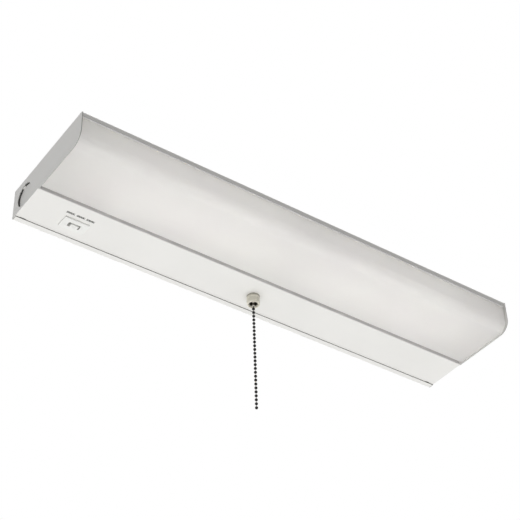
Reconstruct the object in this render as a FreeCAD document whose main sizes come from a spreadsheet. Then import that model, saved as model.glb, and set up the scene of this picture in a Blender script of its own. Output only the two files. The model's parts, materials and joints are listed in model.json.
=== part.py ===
import FreeCAD, Part
import math
import os
from types import SimpleNamespace

import Sketcher
from FreeCAD import Vector

# Closet light for a ceiling: a steel channel with an opal diffuser on the near side, a wiring cover on the
# far side, a pull-chain switch in the middle of the cover and a slide selector near its left end.
# The origin is the centre of the ceiling face. X runs along the fixture, Y to the far side and Z up.

# Driving sizes in millimetres, or in degrees where the name ends in turn
SIZES = {
    # whole fixture
    "overall_length": 457.2,
    "overall_width": 114.3,
    "overall_height": 31.75,
    # formed sheet steel
    "steel": 0.8,
    "bend": 0.2,
    "near_lip": 5.0,
    "near_return": 1.7,
    "far_lip": 5.6,
    "slip": 0.15,
    # mounting slots in the ceiling plate
    "mount_spacing": 304.8,
    "mount_width": 5.0,
    "mount_length": 10.0,
    # end plates
    "end_proud": 0.5,
    "end_corner": 12.0,
    "end_round": 1.0,
    "end_tab_length": 11.0,
    "end_tab_width": 12.0,
    "end_tab_thickness": 2.0,
    "end_tab_spacing": 70.0,
    # knockouts for a cable clamp
    "knockout_radius": 11.1,
    "knockout_slot": 0.6,
    "knockout_push": 1.6,
    "knockout_web": 3.5,
    "knockout_turn": 165.0,
    "knockout_drop": 17.4,
    "knockout_from_far": 18.9,
    "ceiling_knockout_place": 70.0,
    # diffuser
    "lens_wall": 1.6,
    "lens_corner": 10.0,
    "lens_edge": 3.0,
    "lens_recess": 1.5,
    "lens_gap": 0.2,
    "lens_seam_gap": 1.3,
    "lens_hook": 1.4,
    "lens_hook_reach": 0.4,
    "lens_seat": 0.1,
    # wiring cover and partition
    "seam_offset": 11.45,
    "cover_flange": 9.0,
    "cover_tuck": 3.5,
    "notch_reach": 10.0,
    "notch_length": 5.5,
    "notch_width": 0.6,
    "foot_gap": 0.7,
    "partition_rise": 0.3,
    # thread-forming screws
    "screw_shank": 1.5,
    "screw_fit": 0.05,
    "screw_free": 0.15,
    "screw_head": 2.8,
    "screw_head_height": 1.8,
    "screw_tip": 0.1,
    # lamp boards
    "board_length": 200.0,
    "board_width": 20.0,
    "board_thickness": 1.2,
    "board_gap": 10.0,
    "board_offset": 22.0,
    "board_screw_inset": 5.0,
    "chip_length": 3.0,
    "chip_width": 2.8,
    "chip_height": 0.8,
    "chip_count": 12,
    "chip_clear": 2.7,
    "link_length": 18.0,
    "link_width": 6.0,
    "link_height": 3.0,
    "connector_length": 7.0,
    "connector_width": 5.0,
    "connector_height": 5.0,
    "connector_inset": 16.0,
    # driver
    "driver_length": 110.0,
    "driver_width": 30.0,
    "driver_height": 18.0,
    "driver_wall": 1.5,
    "driver_place": 95.0,
    "driver_offset": 34.5,
    "driver_post": 2.0,
    "driver_post_width": 3.6,
    "ear_length": 9.0,
    "ear_width": 12.0,
    "ear_thickness": 2.0,
    "transformer_length": 20.0,
    "transformer_width": 17.0,
    "transformer_height": 10.5,
    "capacitor_radius": 4.5,
    "capacitor_height": 10.0,
    "capacitor_spacing": 60.0,
    # terminal block
    "block_length": 18.0,
    "block_width": 27.0,
    "block_height": 13.0,
    "block_place": 125.0,
    "pole_spacing": 8.0,
    "well_width": 5.2,
    "well_depth": 6.0,
    "pole_screw_radius": 2.5,
    "pole_screw_height": 2.5,
    "ground_screw_place": 95.0,
    "ground_head": 8.0,
    "ground_head_height": 4.5,
    # pull switch
    "pull_offset": 33.1,
    "switch_length": 28.0,
    "switch_width": 22.0,
    "switch_height": 20.0,
    "switch_wall": 2.0,
    "switch_corner": 2.0,
    "cavity_radius": 6.5,
    "thread_radius": 5.1,
    "thread_fit": 0.05,
    "bore_radius": 3.7,
    "bushing_flange": 5.8,
    "bushing_flange_thickness": 1.2,
    "nut_radius": 6.0,
    "nut_height": 1.6,
    "cap_radius": 6.0,
    "cap_height": 7.4,
    "cap_round": 1.6,
    "cap_mouth": 4.0,
    "cap_lip": 1.2,
    "plunger_head": 5.6,
    "plunger_head_height": 2.0,
    "plunger_stem": 2.0,
    "stop_gap": 0.1,
    "spring_radius": 4.4,
    "spring_wire": 0.7,
    # ball chain
    "bead_radius": 1.6,
    "bead_pitch": 4.04,
    "bead_count": 27,
    "inner_bead_count": 3,
    "link_radius": 0.35,
    "link_gap": 0.03,
    "swivel_drop": 1.1,
    # colour selector
    "selector_place": 182.1,
    "selector_offset": 35.2,
    "bezel_length": 23.0,
    "bezel_width": 13.5,
    "bezel_height": 1.5,
    "bezel_edge": 0.3,
    "neck_length": 18.8,
    "neck_width": 9.3,
    "neck_height": 2.0,
    "neck_gap": 0.1,
    "track_length": 11.3,
    "track_width": 5.0,
    "knob_length": 7.0,
    "knob_width": 4.2,
    "knob_proud": 1.3,
    "knob_groove": 0.6,
    "can_height": 6.0,
    "can_wall": 1.0,
    "carriage_length": 10.0,
    "carriage_width": 6.4,
    "carriage_height": 3.0,
    "carriage_lift": 0.2,
    "selector_board_length": 26.0,
    "selector_board_width": 14.0,
    # leads
    "lead_radius": 1.25,
    "lead_drop": 3.0,
    "lead_stub": 9.0,
    "cable_radius": 1.6,
    "grommet_place": 176.0,
    "grommet_drop": 8.0,
    "grommet_radius": 4.5,
    "grommet_bore": 3.2,
    "grommet_flange": 6.0,
    "grommet_lip": 1.2,
}

doc = FreeCAD.newDocument("closet_light")
sheet = doc.addObject("Spreadsheet::Sheet", "dims")
for row, (alias, value) in enumerate(SIZES.items(), start=1):
    sheet.set(f"A{row}", alias)
    sheet.set(f"B{row}", str(value))
    sheet.setAlias(f"B{row}", alias)
doc.recompute()


# Sides of screw heads, leads and other small prisms, most of which stand for round ones
SQUARE = 4
HEX = 6
OCTAGON = 8


class Size:
    """A length with its number and the sheet formula that gives it."""

    def __init__(self, value, formula):
        self.value = value
        self.formula = formula

    def __float__(self):
        return float(self.value)

    def __add__(self, other):
        other = as_size(other)
        return Size(self.value + other.value, f"({self.formula} + {other.formula})")

    def __sub__(self, other):
        other = as_size(other)
        return Size(self.value - other.value, f"({self.formula} - {other.formula})")

    def __mul__(self, other):
        other = as_size(other)
        return Size(self.value * other.value, f"({self.formula} * {other.formula})")

    def __truediv__(self, other):
        other = as_size(other)
        return Size(self.value / other.value, f"({self.formula} / {other.formula})")

    def __neg__(self):
        return as_size(0) - self

    def __rsub__(self, other):
        return as_size(other) - self

    __radd__ = __add__
    __rmul__ = __mul__


def as_size(term):
    return term if isinstance(term, Size) else Size(term, str(term))


d = SimpleNamespace(**{alias: Size(value, f"dims.{alias}") for alias, value in SIZES.items()})


def bind(thing, path, size):
    thing.setExpression(path, as_size(size).formula)


def new_body(label):
    body = doc.addObject("PartDesign::Body", label)
    body.Label = label
    return body


def origin_feature(body, role):
    return next(feature for feature in body.Origin.OriginFeatures if feature.Role == role)


def sketch(body, role, offset, centre=(0, 0), turn=0):
    """A sketch on one of the body's own planes, moved along and across it."""
    drawing = body.newObject("Sketcher::SketchObject", "Sketch")
    drawing.AttachmentSupport = (origin_feature(body, role), [""])
    drawing.MapMode = "FlatFace"
    bind(drawing, "AttachmentOffset.Base.x", centre[0])
    bind(drawing, "AttachmentOffset.Base.y", centre[1])
    bind(drawing, "AttachmentOffset.Base.z", offset)
    drawing.AttachmentOffset = FreeCAD.Placement(Vector(0, 0, 0), Vector(0, 0, 1), float(turn))
    bind(drawing, "AttachmentOffset.Rotation.Angle", turn)
    return drawing


def pin_point(drawing, geometry, point, x, y):
    """Ties one point of a drawn element to its two distances from the sketch's origin."""
    for kind, size in (("DistanceX", x), ("DistanceY", y)):
        rule = Sketcher.Constraint(kind, -1, 1, geometry, point, float(size))
        bind(drawing, f"Constraints[{drawing.addConstraint(rule)}]", size)


def tie_radius(drawing, geometry, radius):
    rule = Sketcher.Constraint("Radius", geometry, float(radius))
    bind(drawing, f"Constraints[{drawing.addConstraint(rule)}]", radius)


def toward(corner, other):
    """Unit step from a corner along X or Y to the next one."""
    across = float(other[0]) - float(corner[0])
    along = float(other[1]) - float(corner[1])
    if abs(across) > abs(along):
        return (math.copysign(1, across), 0)
    return (0, math.copysign(1, along))


def outline(drawing, corners):
    """A closed outline of square corners. A corner with a third value is rounded to that radius."""
    stops = []
    for index, corner in enumerate(corners):
        x, y = as_size(corner[0]), as_size(corner[1])
        if len(corner) == 2:
            stops.append((x, y, None, None))
            continue
        radius = as_size(corner[2])
        back = toward(corner, corners[index - 1])
        ahead = toward(corner, corners[(index + 1) % len(corners)])
        centre = (x + radius * (back[0] + ahead[0]), y + radius * (back[1] + ahead[1]))
        stops.append((x + radius * back[0], y + radius * back[1], radius, centre))
        stops.append((x + radius * ahead[0], y + radius * ahead[1], None, None))
    first = drawing.GeometryCount
    closed = zip(stops, stops[1:] + stops[:1])
    turned_round = {}
    for index, ((x, y, radius, centre), (next_x, next_y, _, _)) in enumerate(closed):
        begin = Vector(float(x), float(y), 0)
        finish = Vector(float(next_x), float(next_y), 0)
        if radius is None:
            drawing.addGeometry(Part.LineSegment(begin, finish), False)
            continue
        middle = Vector(float(centre[0]), float(centre[1]), 0)
        crown = middle + ((begin + finish) / 2 - middle).normalize() * float(radius)
        drawing.addGeometry(Part.Arc(begin, crown, finish), False)
        turned = (begin - middle).cross(finish - middle).z < 0
        turned_round[index] = turned
        tie_radius(drawing, first + index, radius)
    for index, (x, y, _, _) in enumerate(stops):
        following = (index + 1) % len(stops)
        start_point = 2 if turned_round.get(index) else 1
        end_point = 1 if turned_round.get(index) else 2
        next_start = 2 if turned_round.get(following) else 1
        drawing.addConstraint(
            Sketcher.Constraint("Coincident", first + index, end_point, first + following, next_start)
        )
        pin_point(drawing, first + index, start_point, x, y)


def rectangle(drawing, x0, x1, y0, y1):
    outline(drawing, [(x0, y0), (x1, y0), (x1, y1), (x0, y1)])


def polygon(drawing, x, y, radius, sides):
    turns = [2 * math.pi * (step + 0.5) / sides for step in range(sides)]
    outline(drawing, [(x + radius * math.cos(turn), y + radius * math.sin(turn)) for turn in turns])


def circle(drawing, x, y, radius):
    around = Part.Circle(Vector(float(x), float(y), 0), Vector(0, 0, 1), float(radius))
    geometry = drawing.addGeometry(around, False)
    pin_point(drawing, geometry, 3, x, y)
    tie_radius(drawing, geometry, radius)


def extrude(body, drawing, length, kind="Pad"):
    """A pad along the sketch's normal, or a pocket against it."""
    feature = body.newObject(f"PartDesign::{kind}", kind)
    feature.Profile = drawing
    bind(feature, "Length", length)
    return feature


def block(body, x0, x1, y0, y1, z0, z1):
    drawing = sketch(body, "XY_Plane", z0)
    rectangle(drawing, x0, x1, y0, y1)
    return extrude(body, drawing, z1 - z0)


def recess(body, rectangles, z0, z1):
    drawing = sketch(body, "XY_Plane", z1)
    for x0, x1, y0, y1 in rectangles:
        rectangle(drawing, x0, x1, y0, y1)
    return extrude(body, drawing, z1 - z0, "Pocket")


def prisms(body, centres, radius, sides, z0, z1):
    drawing = sketch(body, "XY_Plane", z0)
    for x, y in centres:
        polygon(drawing, x, y, radius, sides)
    return extrude(body, drawing, z1 - z0)


def wells(body, centres, radius, sides, z0, z1):
    drawing = sketch(body, "XY_Plane", z1)
    for x, y in centres:
        polygon(drawing, x, y, radius, sides)
    return extrude(body, drawing, z1 - z0, "Pocket")


def posts(body, centres, radius, z0, z1):
    drawing = sketch(body, "XY_Plane", z0)
    for x, y in centres:
        circle(drawing, x, y, radius)
    return extrude(body, drawing, z1 - z0)


def holes(body, centres, radius, z0, z1):
    drawing = sketch(body, "XY_Plane", z1)
    for x, y in centres:
        circle(drawing, x, y, radius)
    return extrude(body, drawing, z1 - z0, "Pocket")


def section(body, corners, x0, x1):
    """A bent or extruded strip: its cross-section carried along the fixture."""
    drawing = sketch(body, "YZ_Plane", x0)
    outline(drawing, corners)
    return extrude(body, drawing, x1 - x0)


def turned(body, corners, x, y):
    """A piece turned about an upright axis through x and y. Corners are radius and height."""
    drawing = sketch(body, "XZ_Plane", -y, (x, 0))
    outline(drawing, corners)
    feature = body.newObject("PartDesign::Revolution", "Revolution")
    feature.Profile = drawing
    feature.ReferenceAxis = (drawing, ["V_Axis"])
    feature.Angle = 360
    return feature


def ring_across(body, x, z, outer, inner, y0, y1):
    """An eight-sided ring whose axis runs across the fixture."""
    drawing = sketch(body, "XZ_Plane", -y1)
    polygon(drawing, x, z, outer, OCTAGON)
    polygon(drawing, x, z, inner, OCTAGON)
    return extrude(body, drawing, y1 - y0)


def row_of(body, features, role, run, count, back=False):
    """Copies of some features in a row along one of the body's axes. Run is from the first to the last."""
    pattern = body.newObject("PartDesign::LinearPattern", "LinearPattern")
    pattern.Originals = features
    pattern.Direction = (origin_feature(body, role), [""])
    pattern.Reversed = back
    bind(pattern, "Length", run)
    bind(pattern, "Occurrences", count)
    body.Tip = pattern
    return pattern


def break_edges(body, size, wanted):
    """Takes the sharpness off every edge of the body so far that the test accepts."""
    doc.recompute()
    base = body.Tip
    names = [f"Edge{i}" for i, edge in enumerate(base.Shape.Edges, start=1) if wanted(edge)]
    feature = body.newObject("PartDesign::Chamfer", "Chamfer")
    feature.Base = (base, names)
    bind(feature, "Size", size)


def upright(edge):
    return abs(edge.Vertexes[0].Z - edge.Vertexes[-1].Z) > 1e-6


def lies_at(edge, axis, place):
    """True if a whole edge lies in one plane square to an axis."""
    return all(abs(getattr(vertex.Point, axis) - float(place)) < 1e-6 for vertex in edge.Vertexes)


def knockout(body, role, outer, inward, centre, turn):
    """A round hole whose slug is punched inward and hangs on two webs.

    Outer is the place of the sheet's outer side on the plane's normal. Inward is 1 or -1 along that normal.
    """
    def stretch(shallow, deep):
        """Both ends of a stretch of depths below the outer side, the lower one first."""
        ends = (outer + shallow * inward, outer + deep * inward)
        return ends if inward > 0 else ends[::-1]

    _, sheet_high = stretch(as_size(0), d.steel)
    hole = sketch(body, role, sheet_high, centre, turn)
    circle(hole, 0, 0, d.knockout_radius)
    extrude(body, hole, d.steel, "Pocket")
    web_low, _ = stretch(d.steel / 2, d.steel / 2 + d.knockout_push)
    webs = sketch(body, role, web_low, centre, turn)
    slug = d.knockout_radius - d.knockout_slot
    inside, outside = slug - d.knockout_slot, d.knockout_radius + d.knockout_slot
    half = d.knockout_web / 2
    rectangle(webs, -half, half, inside, outside)
    rectangle(webs, -half, half, -outside, -inside)
    extrude(body, webs, d.knockout_push)
    slug_low, _ = stretch(d.knockout_push, d.knockout_push + d.steel)
    disc = sketch(body, role, slug_low, centre, turn)
    circle(disc, 0, 0, slug)
    extrude(body, disc, d.steel)


def screws(label, centres, seat):
    """Hex-head screws driven upward into the ceiling plate. Seat is the height that the heads bear on."""
    body = new_body(label)
    prisms(body, centres, d.screw_head, HEX, seat - d.screw_head_height, seat)
    prisms(body, centres, d.screw_shank, OCTAGON, seat, -d.screw_tip)


def pilot_holes(body, centres):
    holes(body, centres, d.screw_shank + d.screw_fit, -d.steel, as_size(0))


# How far a bend may reach into the shorter of its two runs, as a share of that run
BEND_SHARE = 0.45


def rounded_path(points):
    """Straight runs joined by tangent arcs, each as large as the shorter of its two runs allows."""
    edges, radii = [], []
    begin = points[0]
    for before, corner, after in zip(points, points[1:], points[2:]):
        into = (corner - before).normalize()
        out = (after - corner).normalize()
        half_turn = into.getAngle(out) / 2
        reach = BEND_SHARE * min((corner - before).Length, (after - corner).Length)
        radius = reach / math.tan(half_turn)
        first = corner - into * reach
        last = corner + out * reach
        inward = (out - into).normalize()
        crown = corner + inward * (radius / math.cos(half_turn) - radius)
        edges.append(Part.LineSegment(begin, first).toShape())
        edges.append(Part.Arc(first, crown, last).toShape())
        radii.append(radius)
        begin = last
    edges.append(Part.LineSegment(begin, points[-1]).toShape())
    return Part.Wire(edges), radii


def lead_section(radius, sides):
    turns = [2 * math.pi * (step + 0.5) / sides for step in range(sides)]
    return [(float(radius) * math.cos(turn), float(radius) * math.sin(turn)) for turn in turns]


def lead(label, route, profile):
    """An insulated lead or cable: its cross-section carried along its route."""
    points = [Vector(*[float(value) for value in point]) for point in route]
    path, radii = rounded_path(points)
    ahead = (points[1] - points[0]).normalize()
    aside = ahead.cross(Vector(0, 0, 1)).normalize()
    above = aside.cross(ahead)
    corners = [points[0] + aside * across + above * up for across, up in profile]
    end = Part.makePolygon(corners + corners[:1])
    tube = path.makePipeShell([end], True, False)
    drift = tube.Volume / (Part.Face(end).Area * path.Length) - 1
    print(f"{label}: length {path.Length:.1f}, radii {[round(r, 1) for r in radii]}, drift {drift:.4f}")
    feature = doc.addObject("Part::Feature", label)
    feature.Shape = tube
    feature.Label = label


# Faces that several pieces share
half_length = d.overall_length / 2
half_width = d.overall_width / 2
inner_end = half_length - d.steel
outer_bend = d.bend + d.steel
ceiling = as_size(0)
pan_inside = -d.steel
lowest = -d.overall_height
lip_edge = half_width - d.far_lip
cover_under = lowest + d.steel
cover_inside = cover_under + d.steel
flange_top = cover_under + d.cover_flange
seam = d.seam_offset
partition_near = seam + d.steel + d.slip
partition_far = partition_near + d.steel
wire_height = pan_inside - d.lead_drop

# Screw places in the ceiling plate
board_y = -d.board_offset
board_starts = (-d.board_gap / 2 - d.board_length, d.board_gap / 2)
board_screw_places = [
    (start + inset, board_y)
    for start in board_starts
    for inset in (d.board_screw_inset, d.board_length - d.board_screw_inset)
]
driver_x = -d.driver_place
driver_y = d.driver_offset
driver_ear = d.driver_length / 2 + d.ear_length / 2
driver_screw_places = [(driver_x - driver_ear, driver_y), (driver_x + driver_ear, driver_y)]
block_x = d.block_place
block_screw_places = [(block_x + d.block_length / 2 + d.ear_length / 2, driver_y)]
ground_screw_place = (d.ground_screw_place, driver_y + d.pole_spacing)


def back_pan():
    """Formed channel: ceiling plate, near lip with a small return, far wall and its bottom lip."""
    body = new_body("back_pan")
    near = -half_width
    return_top = -d.near_lip + d.steel
    section(
        body,
        [
            (near, ceiling, outer_bend),
            (half_width, ceiling, outer_bend),
            (half_width, lowest, outer_bend),
            (lip_edge, lowest),
            (lip_edge, cover_under),
            (half_width - d.steel, cover_under, d.bend),
            (half_width - d.steel, pan_inside, d.bend),
            (near + d.steel, pan_inside, d.bend),
            (near + d.steel, return_top, d.bend),
            (near + d.near_return, return_top),
            (near + d.near_return, -d.near_lip),
            (near, -d.near_lip, outer_bend),
        ],
        -inner_end,
        inner_end,
    )
    slot_radius = d.mount_width / 2
    slot_reach = d.mount_length / 2 - slot_radius
    slot_places = [side * d.mount_spacing / 2 for side in (-1, 1)]
    straights = [(x - slot_reach, x + slot_reach, -slot_radius, slot_radius) for x in slot_places]
    recess(body, straights, pan_inside, ceiling)
    ends = [(x + side * slot_reach, 0) for x in slot_places for side in (-1, 1)]
    holes(body, ends, slot_radius, pan_inside, ceiling)
    driven = board_screw_places + driver_screw_places + block_screw_places
    pilot_holes(body, driven + [ground_screw_place])
    knockout(body, "XY_Plane", ceiling, -1, (d.ceiling_knockout_place, driver_y), 0)


def end_plate(label, side):
    """End plate with the diffuser's rounded corner, two welding tabs and a knockout."""
    body = new_body(label)
    near = -half_width - d.end_proud
    step = seam - d.slip
    outer, inner = side * half_length, side * inner_end
    low, high = (outer, inner) if side < 0 else (inner, outer)
    section(
        body,
        [
            (near, ceiling, d.end_round),
            (half_width, ceiling, d.end_round),
            (half_width, lowest, outer_bend),
            (lip_edge, lowest),
            (lip_edge, cover_inside),
            (step, cover_inside),
            (step, lowest),
            (near, lowest, d.end_corner),
        ],
        low,
        high,
    )
    reach = inner - side * d.end_tab_length
    tab_low, tab_high = (inner, reach) if side < 0 else (reach, inner)
    for across in (-1, 1):
        middle = d.end_tab_spacing * across / 2
        half = d.end_tab_width / 2
        block(body, tab_low, tab_high, middle - half, middle + half,
              pan_inside - d.end_tab_thickness, pan_inside)
    centre = (half_width - d.knockout_from_far, -d.knockout_drop)
    knockout(body, "YZ_Plane", outer, -side, centre, d.knockout_turn)


def diffuser():
    """Opal lens: near wall, big rounded corner and flat bottom, held by a hook along each edge."""
    body = new_body("diffuser")
    near = -half_width + d.near_return + d.lens_gap
    hook_near = -half_width + d.steel + d.lens_hook_reach
    far = seam - d.lens_seam_gap
    hook_far = seam + d.lens_hook_reach
    bottom = lowest + d.lens_recess
    near_seat = -d.near_lip + d.steel + d.lens_seat
    far_seat = flange_top + d.lens_seat
    end = inner_end - d.slip
    section(
        body,
        [
            (hook_near, near_seat + d.lens_hook),
            (hook_near, near_seat),
            (near, near_seat),
            (near, bottom, d.lens_corner),
            (far, bottom, d.lens_edge),
            (far, far_seat),
            (hook_far, far_seat),
            (hook_far, far_seat + d.lens_hook),
            (far - d.lens_wall, far_seat + d.lens_hook),
            (far - d.lens_wall, bottom + d.lens_wall, d.lens_edge - d.lens_wall),
            (near + d.lens_wall, bottom + d.lens_wall, d.lens_corner - d.lens_wall),
            (near + d.lens_wall, near_seat + d.lens_hook),
        ],
        -end,
        end,
    )


def wiring_cover():
    """Flat cover over the wiring: near flange bent up, far edge tucked behind the channel's lip."""
    body = new_body("wiring_cover")
    tuck_end = lip_edge + d.cover_tuck
    section(
        body,
        [
            (seam, cover_under, outer_bend),
            (tuck_end, cover_under),
            (tuck_end, cover_inside),
            (seam + d.steel, cover_inside, d.bend),
            (seam + d.steel, flange_top),
            (seam, flange_top),
        ],
        -half_length,
        half_length,
    )
    flange_end = inner_end - d.slip
    past_bend = seam + outer_bend + d.slip
    before_seam = seam - d.slip
    across = (before_seam, past_bend)
    recess(
        body,
        [(flange_end, half_length, *across), (-half_length, -flange_end, *across)],
        cover_inside,
        flange_top,
    )
    tongue_end = half_length - d.notch_reach
    edge = lip_edge - d.slip
    past_tuck = tuck_end + d.slip
    recess(
        body,
        [(tongue_end, half_length, edge, past_tuck), (-half_length, -tongue_end, edge, past_tuck)],
        cover_under,
        cover_inside,
    )
    notch_end = tongue_end + d.notch_length
    notch_edge = lip_edge - d.notch_width
    recess(
        body,
        [(tongue_end, notch_end, notch_edge, lip_edge), (-notch_end, -tongue_end, notch_edge, lip_edge)],
        cover_under,
        cover_inside,
    )
    holes(body, [(0, d.pull_offset)], d.thread_radius + d.thread_fit, cover_under, cover_inside)
    half_x = d.neck_length / 2 + d.neck_gap
    half_y = d.neck_width / 2 + d.neck_gap
    middle = -d.selector_place
    recess(
        body,
        [(middle - half_x, middle + half_x, d.selector_offset - half_y, d.selector_offset + half_y)],
        cover_under,
        cover_inside,
    )


def partition():
    """Bent wall between the lamp chamber and the wiring chamber, with a foot on the ceiling plate."""
    body = new_body("partition")
    foot_under = pan_inside - d.steel
    foot_end = driver_y - d.driver_width / 2 - d.foot_gap
    bottom = cover_inside + d.partition_rise
    end = inner_end - d.slip
    section(
        body,
        [
            (partition_near, bottom),
            (partition_near, pan_inside, outer_bend),
            (foot_end, pan_inside),
            (foot_end, foot_under),
            (partition_far, foot_under, d.bend),
            (partition_far, bottom),
        ],
        -end,
        end,
    )
    drawing = sketch(body, "XZ_Plane", -partition_near)
    polygon(drawing, -d.grommet_place, -d.grommet_drop, d.grommet_radius, OCTAGON)
    extrude(body, drawing, d.steel, "Pocket")


def lead_grommet():
    body = new_body("lead_grommet")
    x, z = -d.grommet_place, -d.grommet_drop
    neck = d.grommet_radius - d.screw_fit
    far_lip = partition_far + d.grommet_lip
    ring_across(body, x, z, d.grommet_flange, d.grommet_bore, partition_near - d.grommet_lip, partition_near)
    ring_across(body, x, z, neck, d.grommet_bore, partition_near, partition_far)
    ring_across(body, x, z, d.grommet_flange, d.grommet_bore, partition_far, far_lip)


board_under = pan_inside - d.board_thickness
board_half = d.board_width / 2


def lamp_boards():
    """Two aluminium lamp boards flat on the ceiling plate, with a row of chips on each."""
    chip_margin = d.board_screw_inset + d.screw_head + d.chip_clear
    chip_run = d.board_length - chip_margin * 2 - d.chip_length
    for label, start in zip(("left", "right"), board_starts):
        board = new_body(f"led_board_{label}")
        block(board, start, start + d.board_length, board_y - board_half, board_y + board_half,
              board_under, pan_inside)
        half_notch = d.screw_shank + d.screw_free
        notch_end = d.board_screw_inset + half_notch
        end = start + d.board_length
        across = (board_y - half_notch, board_y + half_notch)
        notches = [(start - d.slip, start + notch_end, *across), (end - notch_end, end + d.slip, *across)]
        recess(board, notches, board_under, pan_inside)
        chips = new_body(f"led_chips_{label}")
        first = start + chip_margin
        half_chip = d.chip_width / 2
        chip = block(chips, first, first + d.chip_length, board_y - half_chip, board_y + half_chip,
                     board_under - d.chip_height, board_under)
        row_of(chips, [chip], "X_Axis", chip_run, d.chip_count)
    screws("board_screws", board_screw_places, board_under)
    link = new_body("board_link")
    link_y = board_y + board_half - d.link_width
    block(link, -d.link_length / 2, d.link_length / 2, link_y, link_y + d.link_width,
          board_under - d.link_height, board_under)
    connector = new_body("board_connector")
    left = board_starts[0] + d.connector_inset
    block(connector, left, left + d.connector_length, board_y + board_half - d.connector_width,
          board_y + board_half, board_under - d.connector_height, board_under)


driver_under = pan_inside - d.driver_height
driver_half_x = d.driver_length / 2
driver_half_y = d.driver_width / 2
driver_roof = pan_inside - d.driver_wall
driver_board_top = driver_roof - d.driver_post
driver_board_under = driver_board_top - d.board_thickness


def driver():
    """Constant-current supply: case with two screw ears, its lid, the board on posts and the large parts."""
    case = new_body("driver_case")
    block(case, driver_x - driver_half_x, driver_x + driver_half_x, driver_y - driver_half_y,
          driver_y + driver_half_y, driver_under, pan_inside)
    inside_x = driver_half_x - d.driver_wall
    inside_y = driver_half_y - d.driver_wall
    drawing = sketch(case, "XY_Plane", driver_roof)
    rectangle(drawing, driver_x - inside_x, driver_x + inside_x, driver_y - inside_y, driver_y + inside_y)
    extrude(case, drawing, driver_roof - driver_under, "Pocket")
    ear_reach = driver_half_x + d.ear_length
    half = d.ear_width / 2
    ear_under = pan_inside - d.ear_thickness
    for side in (-1, 1):
        near_end, far_end = driver_x + side * driver_half_x, driver_x + side * ear_reach
        low, high = (far_end, near_end) if side < 0 else (near_end, far_end)
        block(case, low, high, driver_y - half, driver_y + half, ear_under, pan_inside)
    half_slot = d.screw_shank + d.screw_free
    slots = [
        (driver_x - ear_reach - d.slip, driver_screw_places[0][0] + half_slot),
        (driver_screw_places[1][0] - half_slot, driver_x + ear_reach + d.slip),
    ]
    recess(case, [(low, high, driver_y - half_slot, driver_y + half_slot) for low, high in slots],
           ear_under, pan_inside)
    post_x = inside_x - d.driver_post_width
    post_y = inside_y - d.driver_post_width
    half_post = d.driver_post_width / 2
    standing = sketch(case, "XY_Plane", driver_board_top)
    for x, y in [(driver_x + i * post_x, driver_y + j * post_y) for i in (-1, 1) for j in (-1, 1)]:
        rectangle(standing, x - half_post, x + half_post, y - half_post, y + half_post)
    extrude(case, standing, d.driver_post)
    screws("driver_screws", driver_screw_places, ear_under)

    lid = new_body("driver_lid")
    block(lid, driver_x - driver_half_x, driver_x + driver_half_x, driver_y - driver_half_y,
          driver_y + driver_half_y, driver_under - d.driver_wall, driver_under)
    rim_x = inside_x - d.slip
    rim_y = inside_y - d.slip
    block(lid, driver_x - rim_x, driver_x + rim_x, driver_y - rim_y, driver_y + rim_y,
          driver_under, driver_under + d.driver_wall)

    board = new_body("driver_board")
    block(board, driver_x - rim_x, driver_x + rim_x, driver_y - rim_y, driver_y + rim_y,
          driver_board_under, driver_board_top)

    parts = new_body("driver_components")
    half_t = d.transformer_length / 2
    wide_t = d.transformer_width / 2
    block(parts, driver_x - half_t, driver_x + half_t, driver_y - wide_t, driver_y + wide_t,
          driver_board_under - d.transformer_height, driver_board_under)
    apart = d.capacitor_spacing / 2
    cans = [(driver_x - apart, driver_y), (driver_x + apart, driver_y)]
    can_under = driver_board_under - d.capacitor_height
    prisms(parts, cans, d.capacitor_radius, OCTAGON, can_under, driver_board_under)


block_under = pan_inside - d.block_height
pole_places = [(block_x, driver_y + step * d.pole_spacing) for step in (-1, 0, 1)]


def terminal_block():
    """Three-pole block for the supply: one clamping screw in a well for each pole."""
    body = new_body("terminal_block")
    half_x = d.block_length / 2
    half_y = d.block_width / 2
    block(body, block_x - half_x, block_x + half_x, driver_y - half_y, driver_y + half_y,
          block_under, pan_inside)
    ear_under = pan_inside - d.ear_thickness
    half = d.ear_width / 2
    block(body, block_x + half_x, block_x + half_x + d.ear_length, driver_y - half, driver_y + half,
          ear_under, pan_inside)
    half_slot = d.screw_shank + d.screw_free
    slot_start = block_screw_places[0][0] - half_slot
    slot_end = block_x + half_x + d.ear_length + d.slip
    recess(body, [(slot_start, slot_end, driver_y - half_slot, driver_y + half_slot)], ear_under, pan_inside)
    well_floor = block_under + d.well_depth
    half_well = d.well_width / 2
    pits = [(x - half_well, x + half_well, y - half_well, y + half_well) for x, y in pole_places]
    recess(body, pits, block_under, well_floor)
    screws("block_screw", block_screw_places, ear_under)
    poles = new_body("terminal_screws")
    prisms(poles, pole_places, d.pole_screw_radius, OCTAGON, well_floor - d.pole_screw_height, well_floor)

    ground = new_body("ground_screw")
    half_head = d.ground_head / 2
    x, y = ground_screw_place
    block(ground, x - half_head, x + half_head, y - half_head, y + half_head,
          pan_inside - d.ground_head_height, pan_inside)
    prisms(ground, [ground_screw_place], d.screw_shank, OCTAGON, pan_inside, -d.screw_tip)


switch_y = d.pull_offset
switch_top = cover_inside + d.switch_height
switch_roof = switch_top - d.switch_wall
switch_floor = cover_inside + d.switch_wall
flange_upper = switch_floor + d.bushing_flange_thickness
nut_under = cover_under - d.nut_height
cap_under = nut_under - d.cap_height
bushing_end = cap_under + d.cap_lip + d.slip
plunger_top = switch_roof - d.stop_gap
plunger_seat = plunger_top - d.plunger_head_height
swivel_height = cap_under - d.swivel_drop
bead_clear = d.bead_radius + d.link_gap
stem_end = swivel_height + d.bead_pitch * (d.inner_bead_count + 1) - bead_clear


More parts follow.
